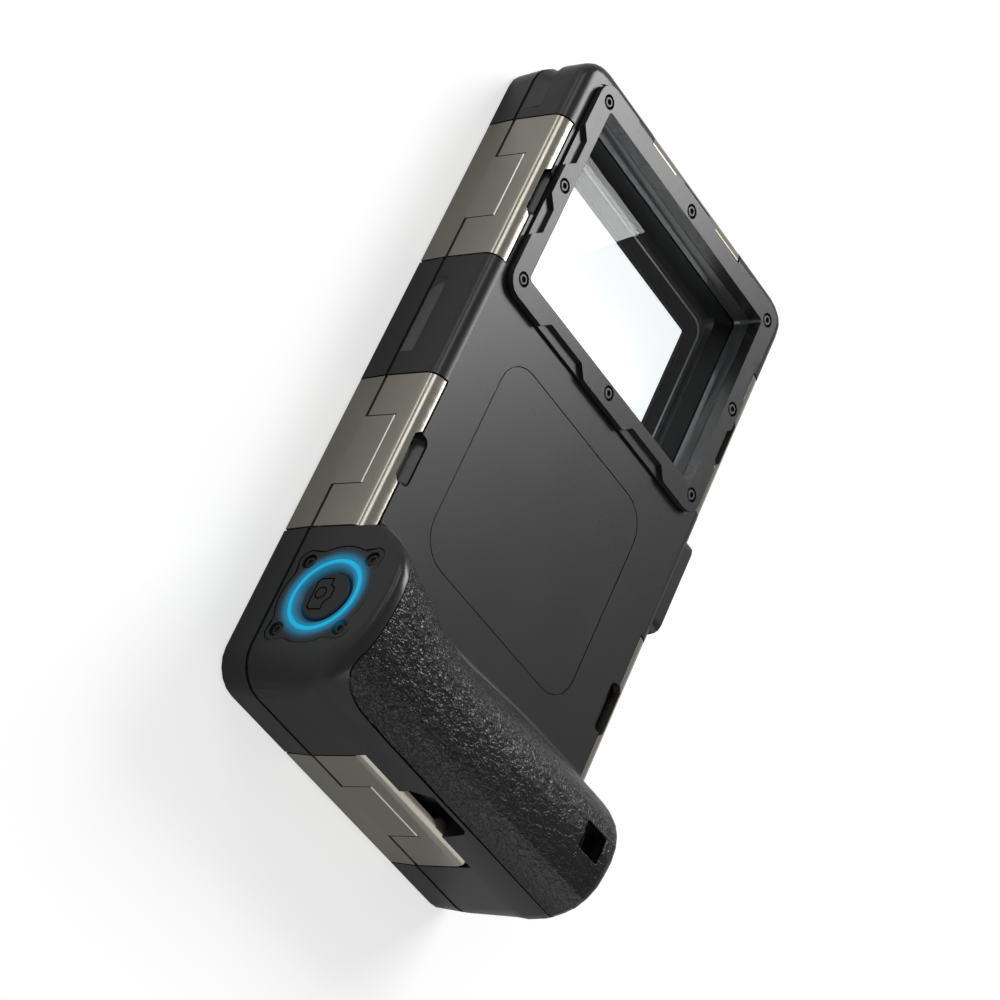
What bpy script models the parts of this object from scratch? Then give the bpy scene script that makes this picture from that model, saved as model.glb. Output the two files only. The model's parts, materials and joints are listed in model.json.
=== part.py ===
"""Two-half underwater phone case with six draw latches, a camera window and a shutter button.

Lies on its screen side. +Z is the camera side, +Y the camera end, -X the shutter button's side.
Lengths below are millimetres; the mesh data is in metres.
"""

import math

import bmesh
import bpy
import numpy as np

MM = 0.001

# Case outline
HALF_W = 53.0
HALF_L = 99.0
CORNER_R = 9.0
DRAFT = 0.8
FRONT_TOP = 9.15
REAR_LOW = 9.45
SIDE_TOP = 22.0
EDGE_R = 4.0
BACK_Z = 26.0
PARTING_STEP = 0.45

# Inside
CAV_X = 43.2
CAV_Y = 91.5
CAV_TOP = 23.6
CAM_CEIL = 16.8
POCKET_X = 46.6
POCKET_Y = 92.0
POCKET_Z = 1.2
SCREEN_X = 41.85
SCREEN_Y = 86.5

# Camera window
CAM_Y = 58.75
CAM_OPEN_X = 41.1
CAM_OPEN_Y = 28.4
GLASS_LAP = 1.05
SEAT_OUT = 1.2
SEAL_LIP = 1.1
FRAME_X = 47.0
FRAME_Y = 34.9
FRAME_TOP = 28.0
FRAME_LEDGE = 26.8
FRAME_GROOVE = 0.45
NOTCH_DEPTH = 3.0
NOTCH_X = (10.0, 31.0)
NOTCH_Y = (4.9, 18.5)
SCREW_CORNER = (42.9, 30.0)
SCREW_MIDDLE = (44.2, 31.0)
SCREW_HEAD_R = 1.65
SCREW_SEAT_R = 2.05

# Latches: centre along the edge, half length, and the two hinge lines in (out, z)
LATCH_HALF = 23.1
TONGUE_HALF = 10.3
LATCH_T = 2.2
PIVOT_A = (-1.35, 11.2)
PIVOT_B = (-1.15, 14.9)
TONGUE_TOP = 18.7
BRIDGE_Z = 19.1
LEVER_TIP = -4.1
THUMB_DEEP = -2.45
THUMB_HALF = 6.25
RECESS = 3.2
RECESS_END = -4.5
RECESS_HALF = 23.6
LATCHES = (
    ("left_upper", (-HALF_W, 52.7), (-1, 0)),
    ("left_lower", (-HALF_W, -32.2), (-1, 0)),
    ("right_upper", (HALF_W, 51.5), (1, 0)),
    ("right_lower", (HALF_W, -36.0), (1, 0)),
    ("top", (2.2, HALF_L), (0, 1)),
    ("bottom", (2.2, -HALF_L), (0, -1)),
)

# Shutter button on the -X face: centre in (y, z)
BTN_Y = -75.8
BTN_Z = 24.4
BEZEL_R = 13.9
LOBE_AT = 9.75
LOBE_R = 3.4
BTN_R = 6.6
DISH_R = 8.6
RING_IN = 9.1
RING_OUT = 10.3

# Tripod boss on the +X face
BOSS_Y = 7.5
BOSS_HALF = 14.5
BOSS_OUT = 4.0
BOSS_Z = (10.6, 24.4)

# The case with its boss is wider on +X: this centres the bounding box on X
SHIFT_X = -BOSS_OUT / 2

for old in list(bpy.data.objects):
    bpy.data.objects.remove(old, do_unlink=True)

scene = bpy.context.scene
materials = {}


def material(name, color, rough, metal=0.0, glass=False):
    mat = bpy.data.materials.new(name)
    mat.use_nodes = True
    node = mat.node_tree.nodes["Principled BSDF"]
    node.inputs["Base Color"].default_value = (*color, 1.0)
    node.inputs["Roughness"].default_value = rough
    node.inputs["Metallic"].default_value = metal
    if glass:
        node.inputs["Transmission Weight"].default_value = 1.0
    materials[name] = mat
    return mat


def make(name, points, faces, mat=None, origin=(0.0, 0.0, 0.0)):
    """One mesh object from points in millimetres; origin is the object's own origin."""
    ox, oy, oz = origin
    mesh = bpy.data.meshes.new(name)
    mesh.from_pydata(
        [((x - ox) * MM, (y - oy) * MM, (z - oz) * MM) for x, y, z in points], [], faces
    )
    bm = bmesh.new()
    bm.from_mesh(mesh)
    bmesh.ops.remove_doubles(bm, verts=bm.verts, dist=1e-7)
    bmesh.ops.recalc_face_normals(bm, faces=bm.faces)
    bm.to_mesh(mesh)
    bm.free()
    obj = bpy.data.objects.new(name, mesh)
    scene.collection.objects.link(obj)
    obj.location = ((ox + SHIFT_X) * MM, oy * MM, oz * MM)
    if mat:
        mesh.materials.append(mat)
    else:
        obj.hide_render = True
        obj.display_type = "WIRE"
    return obj


def loft(rings, loop=False):
    """Points and faces of a skin over rings of equal count, capped unless it closes on itself."""
    count = len(rings[0])
    points = [p for ring in rings for p in ring]
    faces = []
    last = len(rings) if loop else len(rings) - 1
    for i in range(last):
        a = i * count
        b = ((i + 1) % len(rings)) * count
        for k in range(count):
            n = (k + 1) % count
            faces.append((a + k, a + n, b + n, b + k))
    if not loop:
        faces.append(tuple(range(count)))
        faces.append(tuple(range((len(rings) - 1) * count, len(rings) * count)))
    return points, faces


def several(parts):
    """Joins (points, faces) pairs that stay apart in space into one pair."""
    points, faces = [], []
    for some_points, some_faces in parts:
        base = len(points)
        points += some_points
        faces += [tuple(base + k for k in face) for face in some_faces]
    return points, faces


def rounded(hx, hy, r, steps=5, cx=0.0, cy=0.0):
    """Rounded rectangle outline, anticlockwise."""
    out = []
    for sx, sy, start in ((1, 1, 0), (-1, 1, 90), (-1, -1, 180), (1, -1, 270)):
        for k in range(steps + 1):
            a = math.radians(start + 90 * k / steps)
            out.append((cx + sx * (hx - r) + r * math.cos(a), cy + sy * (hy - r) + r * math.sin(a)))
    return out


def circle(r, count, cx=0.0, cy=0.0, turn=0.0):
    out = []
    for k in range(count):
        a = math.radians(turn) + 2 * math.pi * k / count
        out.append((cx + r * math.cos(a), cy + r * math.sin(a)))
    return out


def flat(outline, z):
    return [(x, y, z) for x, y in outline]


def prism(outline, z0, z1):
    return loft([flat(outline, z0), flat(outline, z1)])


def side_prism(outline, x0, x1):
    """Outline in (y, z), extruded along X."""
    return loft([[(x0, y, z) for y, z in outline], [(x1, y, z) for y, z in outline]])


def turned(steps, count, cy, cz):
    """Solid of revolution about an X-parallel line: steps are (x, radius)."""
    return loft([[(x, y, z) for y, z in circle(r, count, cy, cz)] for x, r in steps])


def cut(target, cutters, operation="DIFFERENCE"):
    for cutter in cutters:
        mod = target.modifiers.new(cutter.name, "BOOLEAN")
        mod.operation = operation
        mod.solver = "EXACT"
        mod.object = cutter


def bake(obj):
    """Replaces the object's mesh by its evaluated one, without modifiers."""
    bpy.context.view_layer.update()
    graph = bpy.context.evaluated_depsgraph_get()
    done = bpy.data.meshes.new_from_object(obj.evaluated_get(graph))
    bm = bmesh.new()
    bm.from_mesh(done)
    bmesh.ops.remove_doubles(bm, verts=bm.verts, dist=2e-6)
    bmesh.ops.dissolve_degenerate(bm, edges=bm.edges, dist=2e-6)
    bm.to_mesh(done)
    bm.free()
    obj.modifiers.clear()
    old = obj.data
    obj.data = done
    done.name = old.name
    bpy.data.meshes.remove(old)


# Latch frame: (along, out, z) to world, about a latch's centre on the parting plane
def placed(latch, t, out, z):
    _, (cx, cy), (ox, oy) = latch
    return (cx + ox * out + oy * t, cy + oy * out - ox * t, z)


def latch_prism(latch, section, t0, t1):
    return loft([[placed(latch, t, o, z) for o, z in section] for t in (t0, t1)])


def latch_rod(latch, pivot, r, t0, t1, count=12):
    return latch_prism(latch, circle(r, count, *pivot), t0, t1)


def arc(cx, cy, r, a0, a1, steps):
    out = []
    for k in range(steps + 1):
        a = math.radians(a0 + (a1 - a0) * k / steps)
        out.append((cx + r * math.cos(a), cy + r * math.sin(a)))
    return out


black = material("shell_black", (0.03, 0.031, 0.033), 0.5)
frame_black = material("frame_black", (0.035, 0.036, 0.038), 0.45)
panel_black = material("panel_black", (0.028, 0.029, 0.031), 0.5)
leather = material("grip_leather", (0.015, 0.015, 0.016), 0.6)
champagne = material("latch_champagne", (0.32, 0.3, 0.25), 0.35, 0.8)
steel = material("steel", (0.55, 0.55, 0.56), 0.3, 1.0)
screw_black = material("screw_black", (0.06, 0.06, 0.065), 0.35, 0.9)
clear = material("clear_glass", (0.95, 0.97, 0.98), 0.03, glass=True)
screen = material("clear_screen", (0.95, 0.97, 0.98), 0.05, glass=True)
rubber = material("seal_rubber", (0.012, 0.012, 0.012), 0.7)
silicone = material("seal_silicone", (0.05, 0.05, 0.055), 0.6)
button_black = material("button_black", (0.02, 0.021, 0.023), 0.55)
cyan = material("ring_cyan", (0.03, 0.42, 0.62), 0.4)
brass = material("insert_brass", (0.72, 0.55, 0.28), 0.3, 1.0)
board_green = material("board_green", (0.03, 0.16, 0.08), 0.5)
cell_blue = material("cell_blue", (0.05, 0.1, 0.3), 0.5)
foam = material("cushion_foam", (0.02, 0.02, 0.021), 0.9)

# Front half
CHAMFER = 0.5
front_rings = [
    flat(rounded(HALF_W - DRAFT - CHAMFER, HALF_L - DRAFT - CHAMFER, CORNER_R - 1.0), 0.0),
    flat(rounded(HALF_W - DRAFT, HALF_L - DRAFT, CORNER_R - 0.7), CHAMFER),
    flat(rounded(HALF_W, HALF_L, CORNER_R), FRONT_TOP - 0.3),
    flat(
        rounded(HALF_W - PARTING_STEP, HALF_L - PARTING_STEP, CORNER_R - PARTING_STEP),
        FRONT_TOP - 0.3,
    ),
    flat(
        rounded(HALF_W - PARTING_STEP, HALF_L - PARTING_STEP, CORNER_R - PARTING_STEP),
        FRONT_TOP,
    ),
    flat(rounded(POCKET_X, POCKET_Y, 5.0), FRONT_TOP),
    flat(rounded(POCKET_X, POCKET_Y, 5.0), POCKET_Z),
    flat(rounded(SCREEN_X, SCREEN_Y, 0.6), POCKET_Z),
    flat(rounded(SCREEN_X, SCREEN_Y, 0.6), 0.0),
]
front_shell = make("front_shell", *loft(front_rings, loop=True), black)
FRONT_RECESS = [(3.0, -2.0), (-4.5, -2.0), (-4.5, 2.3), (-3.4, 2.3), (-3.4, 12.0), (3.0, 12.0)]
front_cuts = make(
    "cut_front_recesses",
    *several([latch_prism(la, FRONT_RECESS, -RECESS_HALF, RECESS_HALF) for la in LATCHES]),
)
cut(front_shell, [front_cuts])
bake(front_shell)

gasket_rings = [
    flat(rounded(POCKET_X - 0.15, POCKET_Y - 0.15, 4.85), POCKET_Z + 0.05),
    flat(rounded(POCKET_X - 0.15, POCKET_Y - 0.15, 4.85), POCKET_Z + 0.65),
    flat(rounded(SCREEN_X + 0.8, SCREEN_Y + 0.8, 1.0), POCKET_Z + 0.65),
    flat(rounded(SCREEN_X + 0.8, SCREEN_Y + 0.8, 1.0), POCKET_Z + 0.05),
]
make("front_window_gasket", *loft(gasket_rings, loop=True), rubber)
make("front_window", *prism(rounded(POCKET_X - 0.2, POCKET_Y - 0.4, 4.2), 1.9, 3.9), screen)

# Rear half, outside: rings in (y, z) along X
GRIP = [
    (-52.6, 20.0),
    (-54.9, 24.0),
    (-56.3, 26.4),
    (-57.6, 28.3),
    (-59.4, 31.0),
    (-61.6, 34.2),
    (-63.8, 37.2),
    (-66.0, 39.7),
    (-68.6, 42.0),
    (-71.6, 43.8),
    (-75.4, 45.0),
    (-79.8, 45.4),
    (-84.2, 45.0),
    (-88.2, 44.3),
    (-91.8, 42.7),
    (-94.7, 40.3),
    (-96.35, 37.7),
    (-97.5, 35.1),
    (-98.2, 32.7),
    (-98.9, 28.7),
    (-99.0, 25.0),
]
SKIN_FROM = 3
SKIN_TO = 18
GRIP_END_R = 4.5
RIM_R = 2.5
GRIP_CORNER_R = 5.0

# The grip's front slope, shifted along Y by this much at each X: a waist behind the button's rim
WAIST_X = (-53, -50, -47, -44, -41, -37, -33, -29, -24, -18, -10, 0, 10, 20, 32, 53)
WAIST = (5.2, 5.2, 4.3, 3.3, 2.3, 1.0, -0.5, -1.9, -2.9, -3.5, -3.8, -3.3, -2.3, -1.5, -1.0, -0.7)


def normals(points):
    out = []
    for k in range(len(points)):
        y0, z0 = points[max(k - 1, 0)]
        y1, z1 = points[min(k + 1, len(points) - 1)]
        length = math.hypot(y1 - y0, z1 - z0)
        out.append(((z1 - z0) / length, -(y1 - y0) / length))
    return out


GRIP_N = normals(GRIP)


def end_inset(x, extra):
    """How far the grip's surface, or one lying extra below it, has turned in near its ends."""
    r, near = (GRIP_END_R, HALF_W - x) if x > 0 else (RIM_R, HALF_W + x)
    if near >= r:
        return extra
    inner = (r - extra) ** 2 - (r - near) ** 2
    return r - math.sqrt(max(inner, 0.0))


def plan_inset(x, r=CORNER_R):
    """How far the outline has turned in at x, near its rounded corners."""
    over = abs(x) - (HALF_W - r)
    if over <= 0:
        return 0.0
    return r - math.sqrt(max(r**2 - over**2, 0.0))


def grip_points(x, extra=0.0, first=0, last=None):
    """The grip's profile at x, lowered by extra, as (y, z)."""
    inset = end_inset(x, extra)
    lean = float(np.interp(x, WAIST_X, WAIST))
    out = []
    last = len(GRIP) if last is None else last
    for (y, z), (ny, nz) in list(zip(GRIP, GRIP_N))[first:last]:
        weight = min(max((z - 24.0) / 4.0, 0.0), 1.0)
        py = y - ny * inset * weight
        pz = z - nz * inset * weight
        share = min(max((y + HALF_L) / 20.0, 0.0), 1.0)
        py += lean * share
        blend = min(max((z - 22.0) / 10.0, 0.0), 1.0)
        back = plan_inset(x, CORNER_R + (GRIP_CORNER_R - CORNER_R) * blend)
        if py < -52.0:
            py = -52.0 + (py + 52.0) * (HALF_L - 52.0 - back) / (HALF_L - 52.0)
        out.append((py, pz))
    return out


def rear_ring(x):
    near = HALF_W - abs(x)
    lift = math.sqrt(max(EDGE_R**2 - (EDGE_R - min(near, EDGE_R)) ** 2, 0.0)) / EDGE_R
    half = HALF_L - plan_inset(x)
    ring = [(half, REAR_LOW)]
    for k in range(5):
        a = math.radians(90 * k / 4)
        ring.append((half - EDGE_R * (1 - math.cos(a)), SIDE_TOP + EDGE_R * math.sin(a) * lift))
    top = SIDE_TOP + EDGE_R * lift
    for y, z in grip_points(x):
        ring.append((y, max(z, top) if y > -80 else max(z, SIDE_TOP)))
    ring.append((-half, REAR_LOW))
    return [(x, y, z) for y, z in ring]


STATIONS = [53.0, 52.6, 51.8, 50.5, 49.0, 47.0, 44.0]
MIDDLE = [-41.0, -37.0, -33.0, -29.0, -24.0, -18.0, -10.0, 0.0, 10.0, 20.0, 32.0]
ALONG = [-x for x in STATIONS] + MIDDLE + STATIONS[::-1]
rear_shell = make("rear_shell", *loft([rear_ring(x) for x in ALONG]), black)

boss_outline = rounded(BOSS_HALF, (BOSS_Z[1] - BOSS_Z[0]) / 2, 3.0, 3, BOSS_Y, sum(BOSS_Z) / 2)
boss_small = rounded(
    BOSS_HALF - 1.2, (BOSS_Z[1] - BOSS_Z[0]) / 2 - 1.2, 2.0, 3, BOSS_Y, sum(BOSS_Z) / 2
)
boss = make(
    "add_boss",
    *loft(
        [
            [(HALF_W - 2.0, y, z) for y, z in boss_outline],
            [(HALF_W + BOSS_OUT - 1.2, y, z) for y, z in boss_outline],
            [(HALF_W + BOSS_OUT, y, z) for y, z in boss_small],
        ]
    ),
)
cut(rear_shell, [boss], "UNION")

# Latch recesses in the rear half, with a channel round each hinge line
REAR_RECESS = [
    (3.0, 6.0),
    (-RECESS, 6.0),
    (-RECESS, 9.3),
    (-3.42, 10.2),
    (-3.46, 11.2),
    (-3.42, 12.2),
    (-RECESS, 13.2),
    (-RECESS, 21.8),
    (-3.6, 23.0),
    (RECESS_END, 23.3),
]
OPEN_TOP = [(RECESS_END, 42.0), (3.0, 42.0)]
CLOSED_TOP = [(RECESS_END, 26.4), (3.0, 26.4)]


def recess_section(latch):
    return REAR_RECESS + (CLOSED_TOP if latch[0] == "bottom" else OPEN_TOP)


recesses = make(
    "cut_rear_recesses",
    *several([latch_prism(la, recess_section(la), -RECESS_HALF, RECESS_HALF) for la in LATCHES]),
)
sockets = make(
    "cut_sockets",
    *several(
        [latch_rod(la, PIVOT_A, 1.0, s * 23.2, s * 24.8) for la in LATCHES for s in (-1, 1)]
    ),
)


SCOOP_LOW = 22.9
SCOOP_DEPTH = {
    "left_upper": -5.8,
    "left_lower": -7.4,
    "right_upper": -5.8,
    "right_lower": -7.4,
    "top": -5.8,
    "bottom": -7.6,
}
SCOOP_SLOPE = (25.2, 1.9)
SCOOP_END = ((7.3, 1.6, 30.0), (6.9, 0.7, 30.0), (6.1, 0.12, 30.0), (5.1, 0.0, 30.0))
SCOOP = [(-t, rise, high) for t, rise, high in SCOOP_END] + list(reversed(SCOOP_END))
BOTTOM_SCOOP = ((-10.2, 1.2, 33.0), (-9.0, 0.0, 33.9), (5.2, 0.0, 33.9), (8.8, 1.2, 29.5))


def scoop(latch):
    """Finger pocket behind a latch's free edge, from (along, rise of its floor, top) stations."""
    deep = SCOOP_DEPTH[latch[0]]
    bend, slope = SCOOP_SLOPE
    rings = []
    for t, rise, high in BOTTOM_SCOOP if latch[0] == "bottom" else SCOOP:
        inner = deep + rise
        box = [(3.0, SCOOP_LOW), (inner + slope, SCOOP_LOW), (inner, bend), (inner, high), (3.0, high)]
        rings.append([placed(latch, t, o, z) for o, z in box])
    return loft(rings)


scoops = make("cut_scoops", *several([scoop(la) for la in LATCHES]))

# Inside of the rear half
cavity_low = make("cut_cavity_low", *prism(rounded(CAV_X, CAV_Y, 4.0), 5.0, CAM_CEIL))
cavity_high = make(
    "cut_cavity_high",
    *prism(rounded(CAV_X - 0.01, (CAV_Y + 26.0) / 2, 3.0, 3, 0.0, (26.0 - CAV_Y) / 2), 12.0, CAV_TOP),
)
hollow = make("cut_grip_hollow", *prism(rounded(37.5, 8.5, 2.0, 3, -5.7, -79.5), 20.0, 36.9))
glass_seat = make(
    "cut_glass_seat",
    *prism(rounded(CAM_OPEN_X + SEAT_OUT, CAM_OPEN_Y + SEAT_OUT, 1.8, 3, 0.0, CAM_Y), 18.2, 40.0),
)
glass_way = make(
    "cut_glass_way",
    *prism(rounded(CAM_OPEN_X - 0.5, CAM_OPEN_Y - 0.5, 1.5, 3, 0.0, CAM_Y), 14.0, 19.0),
)
groove_rings = [
    flat(rounded(48.5, 94.3, 6.5), 5.0),
    flat(rounded(48.5, 94.3, 6.5), 10.85),
    flat(rounded(47.0, 92.8, 5.0), 10.85),
    flat(rounded(47.0, 92.8, 5.0), 5.0),
]
groove = make("cut_seal_groove", *loft(groove_rings, loop=True))
panel_pocket = make("cut_panel", *prism(rounded(33.1, 30.7, 9.2, 5, -0.6, -17.0), 24.9, 40.0))
foot_rings = [
    flat(rounded(FRAME_X + FRAME_GROOVE, FRAME_Y + FRAME_GROOVE, 5.2, 5, 0.0, CAM_Y), 27.0),
    flat(rounded(FRAME_X + FRAME_GROOVE, FRAME_Y + FRAME_GROOVE, 5.2, 5, 0.0, CAM_Y), 25.4),
    flat(rounded(FRAME_X - 0.5, FRAME_Y - 0.5, 4.3, 5, 0.0, CAM_Y), 25.4),
    flat(rounded(FRAME_X - 0.5, FRAME_Y - 0.5, 4.3, 5, 0.0, CAM_Y), 27.0),
]
foot_groove = make("cut_foot_groove", *loft(foot_rings, loop=True))


def skin_rings(low, high, x0, x1, grow=0.0):
    """Closed section rings of the layer between low and high below the grip's surface."""
    xs = [x0] + [x for x in ALONG if x0 + 0.6 < x < x1 - 0.6] + [x1]
    rings = []
    for x in xs:
        base = grip_points(x, max(high, 0.0), SKIN_FROM, SKIN_TO)
        raised = min(high, 0.0)
        top = [(y - ny * raised, z - nz * raised) for (y, z), (ny, nz) in zip(base, normals(base))]
        bottom = grip_points(x, low, SKIN_FROM, SKIN_TO)
        if grow:
            for line in (top, bottom):
                for a, b in ((0, 1), (-1, -2)):
                    dy, dz = line[a][0] - line[b][0], line[a][1] - line[b][1]
                    length = math.hypot(dy, dz)
                    line[a] = (line[a][0] + dy / length * grow, line[a][1] + dz / length * grow)
        rings.append([(x, y, z) for y, z in top + bottom[::-1]])
    if grow:
        rings.insert(0, [(x - grow, y, z) for x, y, z in rings[0]])
        rings.append([(x + grow, y, z) for x, y, z in rings[-1]])
    return rings


SKIN_X = (-49.6, 51.4)
SKIN_CORNER = (16.0, 8.0)


def corner_block(name, grow):
    """Cutter that rounds the skin's lower corner at its -X end, square to the surface there."""
    (ax, az), (bx, bz) = GRIP[SKIN_TO - 3], GRIP[SKIN_TO - 1]
    length = math.hypot(bx - ax, bz - az)
    ey, ez = (bx - ax) / length, (bz - az) / length
    rx, rs = SKIN_CORNER
    outline = [(rx + 2.0, 4.0), (-4.0, 4.0), (-4.0, -rs - 2.0)]
    for k in range(9):
        a = math.radians(180.0 - 90.0 * k / 8)
        outline.append((rx + (rx + grow) * math.cos(a), -rs + (rs + grow) * math.sin(a)))
    rings = []
    for h in (-4.0, 7.0):
        rings.append(
            [(SKIN_X[0] + x, bx + ey * s + ez * h, bz + ez * s - ey * h) for x, s in outline]
        )
    return make(name, *loft(rings))


skin_bed = make("cut_skin_bed", *loft(skin_rings(1.3, -1.2, *SKIN_X, 0.25)))
cut(skin_bed, [corner_block("cut_bed_corner", 0.25)])
bake(skin_bed)
grip_skin = make("grip_skin", *loft(skin_rings(1.2, 0.0, *SKIN_X)), leather)
skin_corner = corner_block("cut_skin_corner", 0.0)

# Strap eyelet: down from the grip's back, then out through its +X end
EYE_X = (37.4, 45.9)
EYE_Y = (-84.1, -76.6)
eye_section = [
    (EYE_X[0], 60.0),
    (EYE_X[0], 33.0),
    (60.0, 33.0),
    (60.0, 38.2),
    (EYE_X[1], 38.2),
    (EYE_X[1], 60.0),
]
eyelet = make("cut_eyelet", *loft([[(x, y, z) for x, z in eye_section] for y in EYE_Y]))
cut(grip_skin, [skin_corner, eyelet])
bake(grip_skin)

# Shutter button seat in the -X face
def lobed(radius, lobe, count=56):
    out = []
    for k in range(count):
        a = 2 * math.pi * k / count
        reach = radius
        for sy in (-1, 1):
            for sz in (-1, 1):
                along = sy * LOBE_AT * math.cos(a) + sz * LOBE_AT * math.sin(a)
                off = 2 * LOBE_AT**2 - along**2
                if along > 0 and off < lobe**2:
                    reach = max(reach, along + math.sqrt(lobe**2 - off))
        out.append((BTN_Y + reach * math.cos(a), BTN_Z + reach * math.sin(a)))
    return out


FACE = -HALF_W
bezel_bed = make("cut_bezel", *side_prism(lobed(BEZEL_R + 0.12, LOBE_R + 0.12), -60.0, FACE + 2.55))
button_well = make(
    "cut_button_well",
    *turned(
        [
            (FACE + 1.0, 9.2),
            (FACE + 6.4, 9.2),
            (FACE + 6.4, 4.05),
            (FACE + 8.0, 4.05),
            (FACE + 8.0, 2.6),
            (FACE + 16.0, 2.6),
        ],
        24,
        BTN_Y,
        BTN_Z,
    ),
)
LOBES = [(BTN_Y + sy * LOBE_AT, BTN_Z + sz * LOBE_AT) for sy in (-1, 1) for sz in (-1, 1)]
bezel_holes = make(
    "cut_bezel_holes",
    *several([turned([(FACE + 1.0, 0.85), (FACE + 6.6, 0.85)], 10, y, z) for y, z in LOBES]),
)
FRAME_SCREWS = [
    (-SCREW_CORNER[0], CAM_Y + SCREW_CORNER[1]),
    (0.0, CAM_Y + SCREW_MIDDLE[1]),
    (SCREW_CORNER[0], CAM_Y + SCREW_CORNER[1]),
    (-SCREW_MIDDLE[0], CAM_Y),
    (SCREW_MIDDLE[0], CAM_Y),
    (-SCREW_CORNER[0], CAM_Y - SCREW_CORNER[1]),
    (0.0, CAM_Y - SCREW_MIDDLE[1]),
    (SCREW_CORNER[0], CAM_Y - SCREW_CORNER[1]),
]
frame_holes = make(
    "cut_frame_holes",
    *several([prism(circle(0.8, 10, x, y), 22.2, 30.0) for x, y in FRAME_SCREWS]),
)
tripod_bore = make(
    "cut_tripod_bore",
    *turned([(HALF_W - 6.2, 4.6), (HALF_W + 8.0, 4.6)], 24, BOSS_Y, sum(BOSS_Z) / 2),
)


# Pry slots: a facet that sinks inward from the parting line up to a finger ledge
def slot(along, normal, depth, ledge):
    """Cutter along a path of (x, y), shallow at both ends."""
    rings = []
    for k, ((x, y), (nx, ny)) in enumerate(zip(along, normal)):
        d = depth * (0.06 if k in (0, len(along) - 1) else 1.0)
        section = ((2.0, 9.0), (0.02, 9.0), (-0.02, REAR_LOW + 0.5), (-d, ledge), (2.0, ledge + 0.3))
        rings.append([(x + nx * o, y + ny * o, z) for o, z in section])
    return loft(rings)


SIDE_SLOT = (1.85, 13.7)
CORNER_SLOT = (2.6, 15.7)
side_path = [(-HALF_W, y) for y in (-1.4, 0.4, 18.4, 22.4)]
side_normals = [(-1.0, 0.0)] * 4
corner_path = [(-HALF_W, 79.5), (-HALF_W, 83.5)]
corner_normals = [(-1.0, 0.0)] * 2
for k in range(6):
    a = math.radians(180 - 90 * k / 5)
    corner_path.append((-44.0 + 9.0 * math.cos(a), 90.0 + 9.0 * math.sin(a)))
    corner_normals.append((math.cos(a), math.sin(a)))
corner_path += [(-34.0, HALF_L), (-29.0, HALF_L)]
corner_normals += [(0.0, 1.0)] * 2
slots = make(
    "cut_slots",
    *several(
        [slot(side_path, side_normals, *SIDE_SLOT), slot(corner_path, corner_normals, *CORNER_SLOT)]
    ),
)
step_rings = [
    flat(rounded(HALF_W + 2.0, HALF_L + 2.0, CORNER_R + 2.0), 8.0),
    flat(rounded(HALF_W + 2.0, HALF_L + 2.0, CORNER_R + 2.0), REAR_LOW + 0.3),
    flat(
        rounded(HALF_W - PARTING_STEP, HALF_L - PARTING_STEP, CORNER_R - PARTING_STEP),
        REAR_LOW + 0.3,
    ),
    flat(rounded(HALF_W - PARTING_STEP, HALF_L - PARTING_STEP, CORNER_R - PARTING_STEP), 8.0),
]
parting_step = make("cut_parting_step", *loft(step_rings, loop=True))

cut(
    rear_shell,
    [
        cavity_low,
        cavity_high,
        hollow,
        glass_seat,
        glass_way,
        groove,
        recesses,
        sockets,
        scoops,
        panel_pocket,
        skin_bed,
        eyelet,
        bezel_bed,
        button_well,
        bezel_holes,
        frame_holes,
        tripod_bore,
        slots,
        parting_step,
        foot_groove,
    ],
)
bake(rear_shell)

seal_rings = [
    flat(rounded(48.35, 94.15, 6.35), 9.2),
    flat(rounded(48.35, 94.15, 6.35), 10.75),
    flat(rounded(47.15, 92.95, 5.15), 10.75),
    flat(rounded(47.15, 92.95, 5.15), 9.2),
]
make("main_seal", *loft(seal_rings, loop=True), silicone)
make("back_panel", *prism(rounded(32.9, 30.5, 9.0, 5, -0.6, -17.0), 25.0, BACK_Z), panel_black)

# Camera window: glass on its seat, seal with a sloped lip, screwed frame with a skirt
def window_outline(grow, r):
    """The camera window's opening, larger by grow all round."""
    return rounded(CAM_OPEN_X + grow, CAM_OPEN_Y + grow, r, 3, 0.0, CAM_Y)


make("camera_glass", *prism(window_outline(GLASS_LAP, 1.6), 18.25, 19.95), clear)
cam_gasket = [
    flat(window_outline(GLASS_LAP, 1.6), 20.0),
    flat(window_outline(GLASS_LAP, 1.6), 24.0),
    flat(window_outline(0.0, 1.0), 24.0),
    flat(window_outline(-SEAL_LIP, 1.0), 21.9),
    flat(window_outline(-SEAL_LIP, 1.0), 20.0),
]
make("camera_gasket", *loft(cam_gasket, loop=True), rubber)


def notched():
    """Frame outline with two notches per side, sloped at both ends."""
    corner = rounded(FRAME_X, FRAME_Y, 4.8, 4, 0.0, CAM_Y)
    sides = (
        ((0.0, CAM_Y + FRAME_Y), (-1, 0), (0, -1), NOTCH_X),
        ((-FRAME_X, CAM_Y), (0, -1), (1, 0), NOTCH_Y),
        ((0.0, CAM_Y - FRAME_Y), (1, 0), (0, 1), NOTCH_X),
        ((FRAME_X, CAM_Y), (0, 1), (-1, 0), NOTCH_Y),
    )
    out = []
    for k, ((cx, cy), (ax, ay), (ix, iy), (near, far)) in enumerate(sides):
        out += corner[5 * k : 5 * k + 5]
        for start, end in ((-far, -near), (near, far)):
            for t, sink in (
                (start, 0.0),
                (start + NOTCH_DEPTH, NOTCH_DEPTH),
                (end - NOTCH_DEPTH, NOTCH_DEPTH),
                (end, 0.0),
            ):
                out.append((cx + ax * t + ix * sink, cy + ay * t + iy * sink))
    return out


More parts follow.
